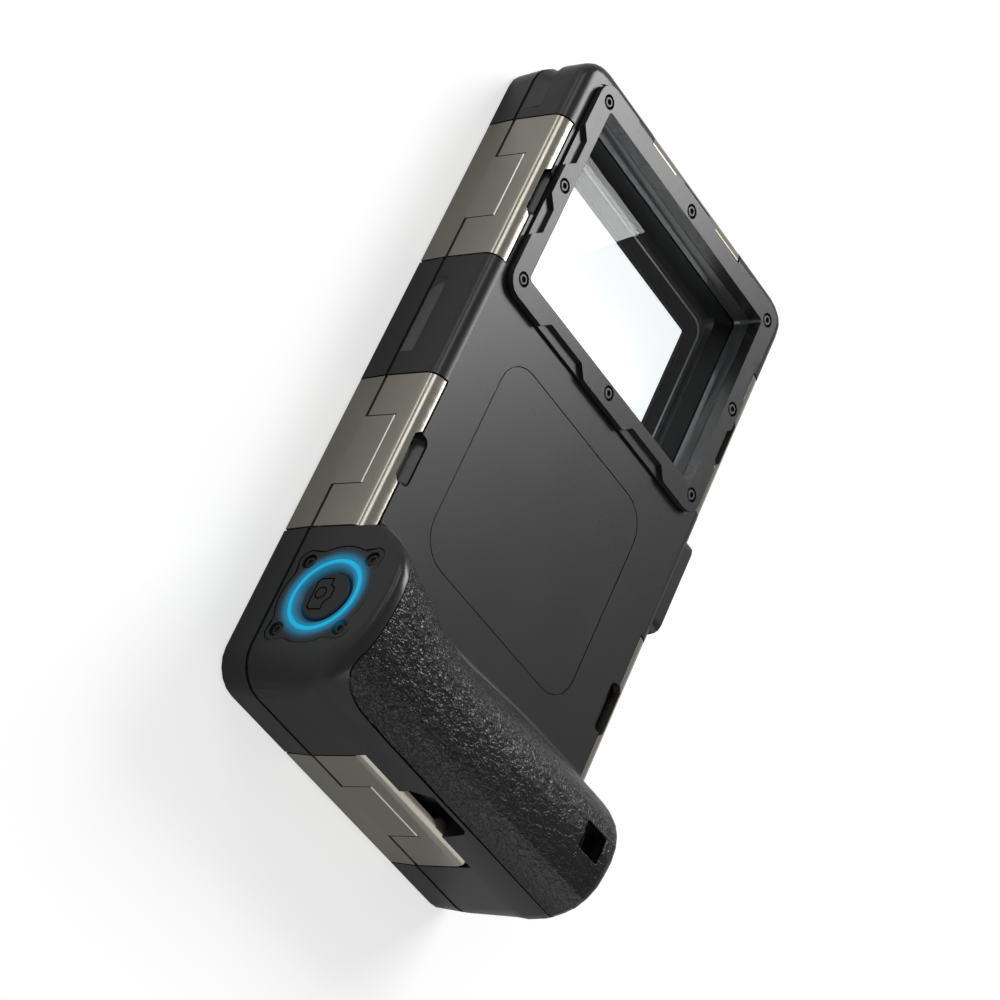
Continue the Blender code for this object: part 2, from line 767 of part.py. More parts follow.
camera_frame = make("camera_frame", *prism(notched(), FRAME_LEDGE - 0.2, FRAME_TOP), frame_black)
frame_plate = make(
    "add_frame_plate",
    *prism(rounded(FRAME_X, FRAME_Y, 4.8, 4, 0.0, CAM_Y), BACK_Z + 0.05, FRAME_LEDGE),
)
skirt = make("add_skirt", *prism(window_outline(GLASS_LAP, 1.6), 24.1, BACK_Z + 0.6))
frame_way = make("cut_frame_way", *prism(window_outline(0.0, 1.0), 15.0, 35.0))
seat = ((0.85, 23.0), (0.85, 26.9), (SCREW_SEAT_R, 26.9), (SCREW_SEAT_R, 30.0))
frame_seats = make(
    "cut_frame_seats",
    *several([loft([flat(circle(r, 14, x, y), z) for r, z in seat]) for x, y in FRAME_SCREWS]),
)
cut(camera_frame, [frame_plate, skirt], "UNION")
cut(camera_frame, [frame_way, frame_seats])
bake(camera_frame)


def hexagon(r, count=12):
    """Hexagon outline with a point at each corner and at each side's middle."""
    out = []
    for k in range(count):
        a = 2 * math.pi * k / count
        reach = r if k % 2 == 0 else r * math.cos(math.pi / 6)
        out.append((reach * math.cos(a), reach * math.sin(a)))
    return out


def screw_rings(head_r, head_t, shaft_r, length, socket):
    """Rings of a button-head screw from its tip up, about its own axis."""
    rings = [(circle(shaft_r, 12), -length), (circle(shaft_r, 12), 0.0), (circle(head_r, 12), 0.0)]
    rings.append((circle(head_r, 12), head_t * 0.55))
    rings.append((circle(head_r * 0.8, 12), head_t))
    rings.append((hexagon(socket), head_t))
    rings.append((hexagon(socket), head_t * 0.35))
    return rings


for k, (x, y) in enumerate(FRAME_SCREWS, 1):
    rings = screw_rings(SCREW_HEAD_R, 1.05, 0.7, 4.3, 0.85)
    make(
        f"frame_screw_{k}",
        *loft([[(x + px, y + py, 26.95 + z) for px, py in ring] for ring, z in rings]),
        screw_black,
    )

# Shutter button group
bezel_steps = [
    (lobed(BEZEL_R, LOBE_R), FACE + 2.45),
    (lobed(BEZEL_R, LOBE_R), FACE + 0.25),
    (lobed(BEZEL_R - 0.25, LOBE_R - 0.25), FACE),
    (circle(RING_OUT + 0.1, 56, BTN_Y, BTN_Z), FACE),
    (circle(RING_OUT + 0.1, 56, BTN_Y, BTN_Z), FACE + 1.0),
    (circle(RING_IN - 0.1, 56, BTN_Y, BTN_Z), FACE + 1.0),
    (circle(RING_IN - 0.1, 56, BTN_Y, BTN_Z), FACE),
    (circle(DISH_R, 56, BTN_Y, BTN_Z), FACE),
    (circle(BTN_R + 0.35, 56, BTN_Y, BTN_Z), FACE + 1.25),
    (circle(BTN_R + 0.35, 56, BTN_Y, BTN_Z), FACE + 2.45),
]
shutter_bezel = make(
    "shutter_bezel",
    *loft([[(x, y, z) for y, z in outline] for outline, x in bezel_steps], loop=True),
    frame_black,
)
lobe_seats = make(
    "cut_lobe_seats",
    *several(
        [
            turned([(FACE - 1.0, 2.1), (FACE + 1.1, 2.1), (FACE + 1.1, 0.85), (FACE + 4.0, 0.85)], 12, y, z)
            for y, z in LOBES
        ]
    ),
)
cut(shutter_bezel, [lobe_seats])
bake(shutter_bezel)
for k, (y, z) in enumerate(LOBES, 1):
    rings = screw_rings(1.7, 0.7, 0.7, 4.4, 0.85)
    make(
        f"bezel_screw_{k}",
        *loft([[(FACE + 1.05 - h, y + py, z + pz) for py, pz in ring] for ring, h in rings]),
        screw_black,
    )
ring_steps = [
    (RING_OUT, FACE + 0.9),
    (RING_OUT, FACE + 0.15),
    (RING_OUT - 0.25, FACE),
    (RING_IN + 0.25, FACE),
    (RING_IN, FACE + 0.15),
    (RING_IN, FACE + 0.9),
]
make(
    "light_ring",
    *loft([[(x, y, z) for y, z in circle(r, 40, BTN_Y, BTN_Z)] for r, x in ring_steps], loop=True),
    cyan,
)
make(
    "shutter_button",
    *turned(
        [
            (FACE + 0.55, BTN_R - 0.3),
            (FACE + 0.85, BTN_R),
            (FACE + 2.75, BTN_R),
            (FACE + 2.75, 8.8),
            (FACE + 3.7, 8.8),
            (FACE + 3.7, 2.35),
            (FACE + 12.4, 2.35),
        ],
        32,
        BTN_Y,
        BTN_Z,
    ),
    button_black,
    (FACE, BTN_Y, BTN_Z),
)
seal_steps = [(3.95, FACE + 6.5), (3.95, FACE + 7.9), (2.42, FACE + 7.9), (2.42, FACE + 6.5)]
make(
    "button_seal",
    *loft([[(x, y, z) for y, z in circle(r, 24, BTN_Y, BTN_Z)] for r, x in seal_steps], loop=True),
    rubber,
)
SPRING_R = 5.6
WIRE = 0.24
TURNS = 2.6
coil = []
for k in range(53):
    part = k / 52
    turn = TURNS * part
    rise = WIRE + (2.56 - 2 * WIRE) * part
    a = 2 * math.pi * turn
    ring = []
    for j in range(6):
        b = 2 * math.pi * j / 6
        r = SPRING_R + WIRE * math.cos(b)
        ring.append(
            (FACE + 3.72 + 0.03 + rise + WIRE * math.sin(b), BTN_Y + r * math.cos(a), BTN_Z + r * math.sin(a))
        )
    coil.append(ring)
make("button_spring", *loft(coil), steel)

# Inside the grip: switch board and cell
board = make(
    "control_board",
    *prism(rounded(0.8, 7.3, 0.3, 1, -36.6, -79.5), 21.5, 36.4),
    board_green,
)
switch = make("add_switch", *turned([(-39.3, 2.0), (-38.9, 3.0), (-36.8, 3.0)], 12, BTN_Y, BTN_Z))
cut(board, [switch], "UNION")
bake(board)
make("battery", *prism(rounded(24.0, 7.2, 1.5, 3, -8.0, -79.5), 24.2, 36.4), cell_blue)
insert_steps = [(4.45, HALF_W - 5.9), (4.45, HALF_W + BOSS_OUT - 0.1), (3.2, HALF_W + BOSS_OUT - 0.1)]
insert_steps += [(3.2, HALF_W - 5.9)]
make(
    "tripod_insert",
    *loft(
        [[(x, y, z) for y, z in circle(r, 24, BOSS_Y, sum(BOSS_Z) / 2)] for r, x in insert_steps],
        loop=True,
    ),
    brass,
)

# Cushions that hold the phone
for name, sx in (("cushion_left", -1), ("cushion_right", 1)):
    make(name, *prism(rounded(1.15, 52.0, 0.8, 2, sx * 41.95, -28.0), 10.0, 17.5), foam)
make("cushion_end", *prism(rounded(33.0, 2.4, 1.2, 2, 0.0, -89.0), 10.0, 17.5), foam)
make("cushion_back", *prism(rounded(36.0, 34.0, 3.0, 3, 0.0, -18.0), 19.4, 23.5), foam)

# Latches: a lever hinged on the rear half, a claw hinged on the lever by a pin
LEVER = [(0.0, SIDE_TOP)] + arc(-3.8, SIDE_TOP, 3.8, 0, 90, 6)[1:]
LEVER += [(LEVER_TIP, 25.8), (LEVER_TIP, 23.8)] + arc(-3.8, SIDE_TOP, 1.6, 90, 0, 4)
LEVER += [(-LATCH_T, 9.62)] + arc(*PIVOT_A, 1.8, -118, -41.4, 5)[1:]
CLAW = [
    (-0.7, 0.7),
    (-0.05, 8.6),
    (0.0, 9.1),
    (-LATCH_T, 9.05),
    (-LATCH_T, 2.5),
    (-3.1, 2.0),
    (-3.1, 0.7),
]
TONGUE = [(-0.3, 7.0), (0.0, 9.0), (0.0, TONGUE_TOP - 0.25), (-0.25, TONGUE_TOP)]
TONGUE += [(-LATCH_T, TONGUE_TOP - 0.2), (-LATCH_T, 7.0)]
WINDOW = [(2.0, 6.0), (2.0, BRIDGE_Z), (-5.0, BRIDGE_Z), (-5.0, 6.0)]


def thumb_cut(latch):
    """Cutter for the notch in a lever's free edge, wider towards the edge."""
    outer = THUMB_DEEP - 3.0
    outline = [
        (-THUMB_HALF, THUMB_DEEP),
        (THUMB_HALF, THUMB_DEEP),
        (THUMB_HALF + 3.0, outer),
        (-THUMB_HALF - 3.0, outer),
    ]
    return loft([[placed(latch, t, o, z) for t, o in outline] for z in (21.0, 27.0)])


for latch in LATCHES:
    name = latch[0]
    at_a = placed(latch, 0.0, *PIVOT_A)
    at_b = placed(latch, 0.0, *PIVOT_B)
    lever = make(
        f"lever_{name}", *latch_prism(latch, LEVER, -LATCH_HALF, LATCH_HALF), champagne, at_a
    )
    gap = make("cut_window_" + name, *latch_prism(latch, WINDOW, -10.6, 10.6))
    thumb = make("cut_thumb_" + name, *thumb_cut(latch))
    studs = make(
        "add_studs_" + name,
        *several(
            [latch_rod(latch, PIVOT_A, 0.88, s * (LATCH_HALF - 1.5), s * 24.4) for s in (-1, 1)]
        ),
    )
    pin_way = make("cut_pin_" + name, *latch_rod(latch, PIVOT_B, 0.68, -16.3, 16.3))
    cut(lever, [gap, thumb])
    cut(lever, [studs], "UNION")
    cut(lever, [pin_way])
    bake(lever)
    claw = make(
        f"claw_{name}", *latch_prism(latch, CLAW, -LATCH_HALF, LATCH_HALF), champagne, at_b
    )
    tongue = make(
        "add_tongue_" + name, *latch_prism(latch, TONGUE, -TONGUE_HALF, TONGUE_HALF)
    )
    cut(claw, [tongue], "UNION")
    cut(claw, [pin_way])
    bake(claw)
    make(f"claw_pin_{name}", *latch_rod(latch, PIVOT_B, 0.6, -16.1, 16.1, 12), steel, at_b)

for obj in list(bpy.data.objects):
    if obj.hide_render:
        bpy.data.objects.remove(obj, do_unlink=True)
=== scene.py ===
"""Looks of the two-half underwater phone case: finishes, fine surface, light and camera."""

import json
import math

import bmesh
import bpy
from mathutils import Matrix, Vector, noise


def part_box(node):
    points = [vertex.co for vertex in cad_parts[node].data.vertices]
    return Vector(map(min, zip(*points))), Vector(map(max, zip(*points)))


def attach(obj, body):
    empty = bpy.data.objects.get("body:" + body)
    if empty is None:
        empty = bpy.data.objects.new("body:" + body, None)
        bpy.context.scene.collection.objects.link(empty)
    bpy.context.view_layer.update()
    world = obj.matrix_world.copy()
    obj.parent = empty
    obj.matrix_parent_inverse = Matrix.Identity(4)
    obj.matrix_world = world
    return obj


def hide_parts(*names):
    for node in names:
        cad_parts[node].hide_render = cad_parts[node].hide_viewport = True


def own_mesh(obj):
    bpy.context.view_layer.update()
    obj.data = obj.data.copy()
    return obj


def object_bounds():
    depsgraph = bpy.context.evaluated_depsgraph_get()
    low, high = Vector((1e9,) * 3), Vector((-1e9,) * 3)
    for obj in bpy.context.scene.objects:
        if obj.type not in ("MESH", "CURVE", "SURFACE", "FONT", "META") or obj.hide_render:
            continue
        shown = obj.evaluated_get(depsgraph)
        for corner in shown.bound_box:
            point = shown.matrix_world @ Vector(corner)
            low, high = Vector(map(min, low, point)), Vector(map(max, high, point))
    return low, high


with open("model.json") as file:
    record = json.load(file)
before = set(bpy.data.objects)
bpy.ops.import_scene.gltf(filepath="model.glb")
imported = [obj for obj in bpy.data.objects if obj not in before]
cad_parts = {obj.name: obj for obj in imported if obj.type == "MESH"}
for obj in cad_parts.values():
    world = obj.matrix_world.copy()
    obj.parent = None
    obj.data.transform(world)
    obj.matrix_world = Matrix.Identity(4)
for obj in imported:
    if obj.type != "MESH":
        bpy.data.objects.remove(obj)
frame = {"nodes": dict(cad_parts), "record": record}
CAD_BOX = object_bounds()
NODES = frame["nodes"]
BODY_OF = {
    node: body
    for body, members in frame["record"]["behaviour"]["bodies"].items()
    for node in members
}

MM = 0.001
scene = bpy.context.scene
scene.view_settings.view_transform = "Standard"


# Camera at the photograph's angle
CAM_PLACE = Vector((-0.52539, -0.44449, 0.56467))
CAM_AZIMUTH = -50.03
CAM_ELEVATION = 39.17
CAM_ROLL = 87.2
CAM_LENS = 125.6


def make_camera():
    az, el, roll = (math.radians(a) for a in (CAM_AZIMUTH, CAM_ELEVATION, CAM_ROLL))
    right = Vector((math.cos(az), math.sin(az), 0.0))
    up = Vector((-math.sin(az) * math.sin(el), math.cos(az) * math.sin(el), math.cos(el)))
    back = right.cross(up)
    turned_right = right * math.cos(roll) + up * math.sin(roll)
    turned_up = up * math.cos(roll) - right * math.sin(roll)
    data = bpy.data.cameras.new("camera")
    data.lens = CAM_LENS
    data.sensor_width = 36.0
    data.clip_end = 50.0
    camera = bpy.data.objects.new("camera", data)
    camera.matrix_world = Matrix.Translation(CAM_PLACE) @ Matrix(
        (turned_right, turned_up, back)
    ).transposed().to_4x4()
    scene.collection.objects.link(camera)
    scene.camera = camera


make_camera()


# The light ring: its centre in metres, and its centre line's radius and half width in mm
RING_CENTRE = (-0.055, -0.0758, 0.0244)
RING_RADIUS = 9.7
RING_HALF = 0.6
# The ring's light painted as glow on the pieces beside it: its colour, and its reach in mm
PAINTED_GLOW_COLOR = (0.0, 0.17, 0.32)
PAINTED_GLOW_REACH = 1.5

# Fine grain: noise scale of plastic's and leather's, and depth in metres, metal's too
GRAIN_SCALE = 3000.0
GRAIN_DEPTH = 0.000006
# Ripple of the clear panes, in metres
PANE_RIPPLE = 0.00000005

# Leather: the heights in mm over which its relief sets in, the stretch of X in mm over which its
# wrinkles get shallower, and the share of their depth at the end of that
LEATHER_RISE_Z = (29.5, 36.0)
LEATHER_FADE_X = (-20.0, 45.0)
LEATHER_FAR_SHARE = 0.35
# Leather wrinkles: scales of the large and small ones and of the noise that bends them, how far
# it bends them in metres, their stretch along X, and their depth in metres
WRINKLE_LARGE = 400.0
WRINKLE_SMALL = 950.0
BEND_SCALE = 420.0
BEND_REACH = 0.0013
WRINKLE_STRETCH = (0.55, 1.0, 1.0)
WRINKLE_DEPTH = 0.0002


class Nodes:
    """Builds one material's node tree with short calls."""

    def __init__(self, name):
        self.mat = bpy.data.materials.new(name)
        self.mat.use_nodes = True
        self.tree = self.mat.node_tree
        self.shader = self.tree.nodes["Principled BSDF"]
        self.place = self.add("ShaderNodeTexCoord").outputs["Object"]

    def add(self, kind, **settings):
        node = self.tree.nodes.new(kind)
        for key, value in settings.items():
            setattr(node, key, value)
        return node

    def link(self, source, target):
        self.tree.links.new(source, target)

    def put(self, socket, value):
        if isinstance(value, bpy.types.NodeSocket):
            self.link(value, socket)
        else:
            socket.default_value = value

    def set(self, **values):
        """Shader inputs by name, with underscores for spaces."""
        for key, value in values.items():
            self.put(self.shader.inputs[key.replace("_", " ")], value)

    def math(self, how, a, b=0.0):
        node = self.add("ShaderNodeMath", operation=how)
        self.put(node.inputs[0], a)
        self.put(node.inputs[1], b)
        return node.outputs[0]

    def noise(self, scale, detail=3.0, stretch=None):
        node = self.add("ShaderNodeTexNoise")
        node.inputs["Scale"].default_value = scale
        node.inputs["Detail"].default_value = detail
        place = self.place
        if stretch:
            mapping = self.add("ShaderNodeMapping")
            mapping.inputs["Scale"].default_value = stretch
            self.link(self.place, mapping.inputs["Vector"])
            place = mapping.outputs[0]
        self.link(place, node.inputs["Vector"])
        return node.outputs["Fac"]

    def warped(self, scale, amount, stretch):
        """Object coordinates, scaled by stretch, pushed about by noise by up to amount metres."""
        push = self.add("ShaderNodeTexNoise")
        push.inputs["Scale"].default_value = scale
        push.inputs["Detail"].default_value = 2.0
        self.link(self.place, push.inputs["Vector"])
        centred = self.add("ShaderNodeVectorMath", operation="MULTIPLY_ADD")
        self.link(push.outputs["Color"], centred.inputs[0])
        centred.inputs[1].default_value = (2 * amount,) * 3
        centred.inputs[2].default_value = (-amount,) * 3
        drawn = self.add("ShaderNodeVectorMath", operation="MULTIPLY")
        self.link(self.place, drawn.inputs[0])
        drawn.inputs[1].default_value = stretch
        total = self.add("ShaderNodeVectorMath", operation="ADD")
        self.link(drawn.outputs[0], total.inputs[0])
        self.link(centred.outputs[0], total.inputs[1])
        return total.outputs[0]

    def cells(self, scale, feature="F1", place=None):
        node = self.add("ShaderNodeTexVoronoi", feature=feature)
        node.inputs["Scale"].default_value = scale
        self.link(place or self.place, node.inputs["Vector"])
        return node.outputs["Distance"]

    def spread(self, value, low, high, start=0.0, end=1.0):
        """value from start..end mapped to low..high."""
        node = self.add("ShaderNodeMapRange")
        self.put(node.inputs["Value"], value)
        node.inputs["From Min"].default_value = start
        node.inputs["From Max"].default_value = end
        node.inputs["To Min"].default_value = low
        node.inputs["To Max"].default_value = high
        return node.outputs["Result"]

    def colors(self, value, *stops):
        """Colour ramp through (position, (r, g, b)) stops."""
        ramp = self.add("ShaderNodeValToRGB")
        elements = ramp.color_ramp.elements
        while len(elements) < len(stops):
            elements.new(0.5)
        for element, (position, color) in zip(elements, stops):
            element.position = position
            element.color = (*color, 1.0)
        self.put(ramp.inputs[0], value)
        return ramp.outputs[0]

    def ring_gap(self):
        """Distance from the light ring's centre line, in millimetres."""
        away = self.add("ShaderNodeVectorMath", operation="SUBTRACT")
        self.link(self.place, away.inputs[0])
        away.inputs[1].default_value = RING_CENTRE
        across = self.add("ShaderNodeVectorMath", operation="MULTIPLY")
        self.link(away.outputs[0], across.inputs[0])
        across.inputs[1].default_value = (0.0, 1000.0, 1000.0)
        length = self.add("ShaderNodeVectorMath", operation="LENGTH")
        self.link(across.outputs[0], length.inputs[0])
        return self.math("ABSOLUTE", self.math("SUBTRACT", length.outputs["Value"], RING_RADIUS))

    def paint_ring_glow(self, color, reach, strength):
        """Painted glow: the ring's light laid on the surfaces beside it as emission, fading over
        reach millimetres.
        """
        gap = self.math("MAXIMUM", self.math("SUBTRACT", self.ring_gap(), RING_HALF), 0.0)
        share = self.math("MULTIPLY", gap, 1.0 / reach)
        fade = self.math("EXPONENT", self.math("MULTIPLY", self.math("MULTIPLY", share, share), -1.0))
        self.set(
            Emission_Color=(*color, 1.0),
            Emission_Strength=self.math("MULTIPLY", fade, strength),
        )

    def bump(self, height, distance, strength=1.0, after=None):
        node = self.add("ShaderNodeBump")
        node.inputs["Distance"].default_value = distance
        node.inputs["Strength"].default_value = strength
        self.link(height, node.inputs["Height"])
        if after is not None:
            self.link(after, node.inputs["Normal"])
        return node.outputs[0]


def shade(color, factor):
    return tuple(c * factor for c in color)


def moulded(name, color, rough, mottling=0.05, specular=0.4, lit=0.0):
    """Matt moulded plastic: spark-eroded grain, faint mottling, patchy sheen, and with lit the ring's
    painted glow.
    """
    n = Nodes(name)
    patches = n.noise(26.0, 4.0)
    n.set(
        Base_Color=n.colors(
            patches, (0.3, shade(color, 1 - mottling)), (0.7, shade(color, 1 + mottling))
        ),
        Roughness=n.spread(n.noise(60.0, 3.0), rough - 0.01, rough + 0.01, 0.3, 0.7),
        Specular_IOR_Level=specular,
        Normal=n.bump(n.noise(GRAIN_SCALE, 2.0), GRAIN_DEPTH),
    )
    # Painted light: the ring's glow on this piece, as emission
    if lit:
        n.paint_ring_glow(PAINTED_GLOW_COLOR, PAINTED_GLOW_REACH, lit)
    return n.mat


def satin_metal(name, color, rough):
    """Champagne anodised or sprayed metal: fine flake in colour and sheen."""
    n = Nodes(name)
    flake = n.cells(5200.0)
    cloud = n.noise(40.0, 4.0)
    tone = n.math("ADD", n.math("MULTIPLY", flake, 0.25), n.math("MULTIPLY", cloud, 0.75))
    n.set(
        Base_Color=n.colors(tone, (0.25, shade(color, 0.9)), (0.65, shade(color, 1.08))),
        Metallic=0.85,
        Roughness=n.spread(n.noise(420.0, 4.0), rough - 0.04, rough + 0.04, 0.3, 0.7),
        Normal=n.bump(n.noise(3600.0, 2.0), GRAIN_DEPTH),
    )
    return n.mat


def turned_metal(name, color, rough):
    """Bare metal with tool marks."""
    n = Nodes(name)
    marks = n.noise(1800.0, 3.0, stretch=(1.0, 0.08, 0.08))
    n.set(
        Base_Color=n.colors(n.noise(300.0), (0.3, shade(color, 0.85)), (0.7, color)),
        Metallic=1.0,
        Roughness=n.spread(marks, rough - 0.08, rough + 0.1, 0.3, 0.7),
        Normal=n.bump(marks, 0.000012),
    )
    return n.mat


def clear_pane(name, tint, ior):
    """Thin coated clear pane: what is behind it shows almost unbent, with a weak reflection."""
    n = Nodes(name)
    n.set(
        Base_Color=(*tint, 1.0),
        Roughness=0.0,
        Transmission_Weight=1.0,
        IOR=ior,
        Normal=n.bump(n.noise(18.0, 2.0), PANE_RIPPLE),
    )
    through = n.add("ShaderNodeBsdfTransparent")
    through.inputs["Color"].default_value = (*tint, 1.0)
    ways = n.add("ShaderNodeLightPath")
    mix = n.add("ShaderNodeMixShader")
    n.link(ways.outputs["Is Shadow Ray"], mix.inputs[0])
    n.link(n.shader.outputs[0], mix.inputs[1])
    n.link(through.outputs[0], mix.inputs[2])
    output = n.tree.nodes["Material Output"]
    n.link(mix.outputs[0], output.inputs["Surface"])
    return n.mat


def rubbery(name, color, rough=0.62, grain=1500.0, specular=0.35):
    n = Nodes(name)
    n.set(
        Base_Color=n.colors(n.noise(60.0, 5.0), (0.3, shade(color, 0.8)), (0.7, shade(color, 1.25))),
        Roughness=n.spread(n.noise(200.0, 4.0), rough - 0.06, rough + 0.06, 0.3, 0.7),
        Specular_IOR_Level=specular,
        Normal=n.bump(n.noise(grain, 3.0), 0.00003),
    )
    return n.mat


def foamed(name, color):
    n = Nodes(name)
    pores = n.cells(1400.0)
    n.set(
        # Painted shade: the colour darkens into each pore's hollow
        Base_Color=n.colors(pores, (0.0, shade(color, 0.4)), (0.5, color)),
        Roughness=n.spread(pores, 0.95, 0.8, 0.0, 0.6),
        Normal=n.bump(pores, 0.00015),
    )
    return n.mat


def glowing(name, color, strength):
    """Lit light guide: brightest along its middle, with a faint waver."""
    n = Nodes(name)
    waver = n.noise(120.0, 2.0)
    middle = n.spread(n.ring_gap(), 1.0, 0.8, 0.2, RING_HALF)
    n.set(
        Base_Color=n.colors(waver, (0.3, shade(color, 0.1)), (0.7, shade(color, 0.14))),
        Emission_Color=n.colors(waver, (0.3, shade(color, 0.94)), (0.7, color)),
        Emission_Strength=n.math("MULTIPLY", middle, strength),
        Roughness=n.spread(waver, 0.45, 0.55),
        Specular_IOR_Level=0.2,
    )
    return n.mat


def leathery(name, color):
    """Black leather: wrinkles with painted shade in their grooves, pores and polished ridges, over
    the mesh's own wrinkles.
    """
    n = Nodes(name)
    split = n.add("ShaderNodeSeparateXYZ")
    n.link(n.place, split.inputs[0])
    z_start, z_full = (z * MM for z in LEATHER_RISE_Z)
    x_start, x_end = (x * MM for x in LEATHER_FADE_X)
    from_edge = n.spread(split.outputs["Z"], 0.0, 1.0, z_start, z_full)
    from_end = n.spread(split.outputs["X"], 1.0, LEATHER_FAR_SHARE, x_start, x_end)
    depth = n.math("MULTIPLY", from_edge, from_end)
    wavy = n.warped(BEND_SCALE, BEND_REACH, WRINKLE_STRETCH)
    large = n.spread(n.cells(WRINKLE_LARGE, "DISTANCE_TO_EDGE", wavy), 0.0, 1.0, 0.0, 0.13)
    small = n.spread(n.cells(WRINKLE_SMALL, "DISTANCE_TO_EDGE", wavy), 0.0, 1.0, 0.0, 0.16)
    wrinkles = n.math("ADD", n.math("MULTIPLY", large, 0.6), n.math("MULTIPLY", small, 0.4))
    height = n.math("MULTIPLY", wrinkles, depth)
    pores = n.bump(n.noise(GRAIN_SCALE, 2.0), GRAIN_DEPTH, 0.6)
    n.set(
        # Painted shade: the colour darkens in the wrinkles' grooves and lightens on their ridges
        Base_Color=n.colors(wrinkles, (0.05, shade(color, 0.5)), (0.6, shade(color, 1.2))),
        Roughness=n.spread(wrinkles, 0.36, 0.25, 0.1, 0.7),
        Specular_IOR_Level=0.4,
        Normal=n.bump(height, WRINKLE_DEPTH, after=pores),
    )
    return n.mat


SHELL = moulded("shell_black_look", (0.0145, 0.015, 0.0155), 0.28, specular=0.5)
FRAME = moulded("frame_black_look", (0.017, 0.0172, 0.018), 0.27, specular=0.5)
# The bezel and the button carry the ring's painted glow
BEZEL = moulded("bezel_black_painted_glow_look", (0.02, 0.0205, 0.022), 0.4, lit=1.0)
PANEL = moulded("panel_black_look", (0.0145, 0.015, 0.0155), 0.28, specular=0.5)
LEATHER = leathery("grip_leather_look", (0.0045, 0.0045, 0.0048))
LATCH = satin_metal("latch_champagne_look", (0.38, 0.361, 0.309), 0.2)
STEEL = turned_metal("steel_look", (0.55, 0.55, 0.56), 0.3)
SCREW = turned_metal("screw_black_look", (0.08, 0.08, 0.083), 0.35)
DARK_SCREW = moulded("screw_oxide_look", (0.012, 0.012, 0.0125), 0.4)
GLASS = clear_pane("clear_glass_look", (0.97, 0.985, 0.99), 1.23)
SCREEN = clear_pane("clear_screen_look", (0.97, 0.985, 0.99), 1.1)
# Painted highlight: pale grey on a pane's edge bevels, for the bright line along it
PANE_EDGE_HIGHLIGHT = rubbery("pane_edge_painted_highlight_look", (0.75, 0.77, 0.78), 0.4)
SEAL_GREY = rubbery("seal_lip_look", (0.05, 0.052, 0.055), 0.18, 900.0, 0.8)
# Painted shade: a darker, duller black for the shell's inside and the narrow step at the grip's foot
INSIDE_SHADE = moulded("inside_painted_shade_look", (0.006, 0.006, 0.0065), 0.6, specular=0.15)
SEAM_SHADE = moulded("seam_painted_shade_look", (0.012, 0.012, 0.0125), 0.6, specular=0.0)
RUBBER = rubbery("seal_rubber_look", (0.012, 0.012, 0.012))
SILICONE = rubbery("seal_silicone_look", (0.05, 0.05, 0.055), 0.5)
BUTTON = moulded("button_black_painted_glow_look", (0.018, 0.0185, 0.02), 0.45, lit=0.8)
MARK = moulded("button_mark_look", (0.002, 0.002, 0.002), 0.7, specular=0.1)
CYAN = glowing("ring_cyan_look", (0.012, 0.4, 0.66), 1.0)
BRASS = turned_metal("insert_brass_look", (0.72, 0.55, 0.28), 0.28)
BOARD = moulded("board_green_look", (0.03, 0.16, 0.08), 0.4, mottling=0.2)
CELL = moulded("cell_blue_look", (0.05, 0.1, 0.3), 0.35)
FOAM = foamed("cushion_foam_look", (0.02, 0.02, 0.021))

SLOT_LOOKS = {
    "shell_black": SHELL,
    "frame_black": FRAME,
    "panel_black": PANEL,
    "grip_leather": LEATHER,
    "latch_champagne": LATCH,
    "steel": STEEL,
    "screw_black": SCREW,
    "clear_glass": GLASS,
    "clear_screen": SCREEN,
    "seal_rubber": RUBBER,
    "seal_silicone": SILICONE,
    "button_black": BUTTON,
    "ring_cyan": CYAN,
    "insert_brass": BRASS,
    "board_green": BOARD,
    "cell_blue": CELL,
    "cushion_foam": FOAM,
}
SLOT_OF = {part["node"]: part["material_slot"] for part in frame["record"]["subparts"]}


def take_place(piece, node):
    """The piece stands for the CAD node and moves with its body."""
    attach(piece, BODY_OF[node])
    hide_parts(node)


def welded(node, look):
    """A free, smooth-shaded copy of a CAD node's mesh with its triangles joined into faces."""
    name = node + "_dressed"
    mesh = bpy.data.meshes.new(name)
    bm = bmesh.new()
    bm.from_mesh(NODES[node].data)
    bmesh.ops.remove_doubles(bm, verts=bm.verts, dist=1e-6)
    bmesh.ops.dissolve_limit(
        bm, angle_limit=math.radians(0.6), verts=bm.verts, edges=bm.edges, delimit={"NORMAL"}
    )
    for face in bm.faces:
        face.smooth = True
    bm.to_mesh(mesh)
    bm.free()
    for attribute in ("custom_normal", "sharp_face"):
        if attribute in mesh.attributes:
            mesh.attributes.remove(mesh.attributes[attribute])
    mesh.materials.clear()
    mesh.materials.append(look)
    piece = bpy.data.objects.new(name, mesh)
    scene.collection.objects.link(piece)
    return piece


def settle(piece):
    """Applies the piece's modifiers to its mesh."""
    bpy.context.view_layer.update()
    graph = bpy.context.evaluated_depsgraph_get()
    done = bpy.data.meshes.new_from_object(piece.evaluated_get(graph))
    piece.modifiers.clear()
    piece.data = done


SHARP_ANGLE = math.radians(32.0)
BEVEL_STEPS = 2


def finish_edges(piece, edge=0.0):
    """Sharpens the edges past SHARP_ANGLE, and rounds them by edge millimetres if given."""
    piece.data.set_sharp_from_angle(angle=SHARP_ANGLE)
    if edge:
        bevel = piece.modifiers.new("edges", "BEVEL")
        bevel.width = edge * MM
        bevel.segments = BEVEL_STEPS
        bevel.limit_method = "ANGLE"
        bevel.angle_limit = SHARP_ANGLE
        bevel.harden_normals = True
    weighted = piece.modifiers.new("normals", "WEIGHTED_NORMAL")
    weighted.keep_sharp = True


def dressed(node, edge=0.0, look=None):
    """A smooth-shaded copy of a CAD node, its hard edges rounded by edge millimetres."""
    piece = welded(node, look or SLOT_LOOKS[SLOT_OF[node]])
    finish_edges(piece, edge)
    take_place(piece, node)
    return piece


